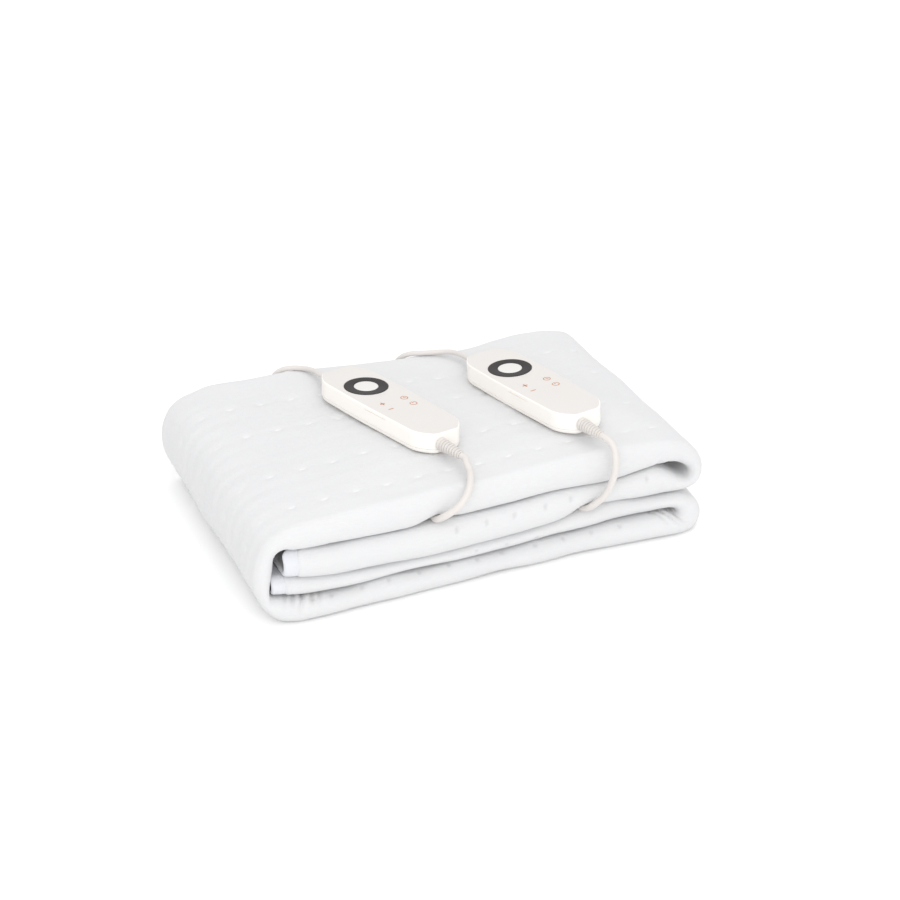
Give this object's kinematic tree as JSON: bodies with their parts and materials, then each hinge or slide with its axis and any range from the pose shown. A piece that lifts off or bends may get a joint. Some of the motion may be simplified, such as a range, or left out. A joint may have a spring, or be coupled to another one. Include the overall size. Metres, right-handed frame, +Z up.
{
  "type": "heated mattress pad",
  "caption": "Folded white fleece heated mattress pad with ivory hand controllers lying on top, leads tucked into the folds and coiled mains leads behind.",
  "frame": {"origin": "centre of the folded pad's and controllers' bounding box, at the bottom face on which the pad rests", "axes": "+X along the pad's fold lines towards its right fold, +Y towards the open hems at the back, +Z up"},
  "size_m": [0.3893, 0.3516, 0.1135],
  "materials": {
    "fleece": "matte",
    "shell_plastic": "satin",
    "display_ring": "satin",
    "display_window": "gloss",
    "cord_jacket": "satin",
    "tie_strap": "matte",
    "pin_metal": "polished"
  },
  "bodies": {
    "root": {"pad_cloth": "fleece", "controller_left_top_shell": "shell_plastic", "controller_left_base_shell": "shell_plastic", "controller_left_display_ring": "display_ring", "controller_left_display_window": "display_window", "controller_left_front_relief": "cord_jacket", "controller_left_rear_relief": "cord_jacket", "pad_lead_left": "cord_jacket", "mains_lead_left": "cord_jacket", "mains_lead_left_coil": "cord_jacket", "mains_lead_left_tail": "cord_jacket", "coil_tie_left": "tie_strap", "plug_left_body": "cord_jacket", "plug_left_relief": "cord_jacket", "plug_left_pin_1": "pin_metal", "plug_left_pin_2": "pin_metal", "controller_right_top_shell": "shell_plastic", "controller_right_base_shell": "shell_plastic", "controller_right_display_ring": "display_ring", "controller_right_display_window": "display_window", "controller_right_front_relief": "cord_jacket", "controller_right_rear_relief": "cord_jacket", "pad_lead_right": "cord_jacket", "mains_lead_right": "cord_jacket", "mains_lead_right_coil": "cord_jacket", "mains_lead_right_tail": "cord_jacket", "coil_tie_right": "tie_strap", "plug_right_body": "cord_jacket", "plug_right_relief": "cord_jacket", "plug_right_pin_1": "pin_metal", "plug_right_pin_2": "pin_metal"}
  },
  "joints": []
}
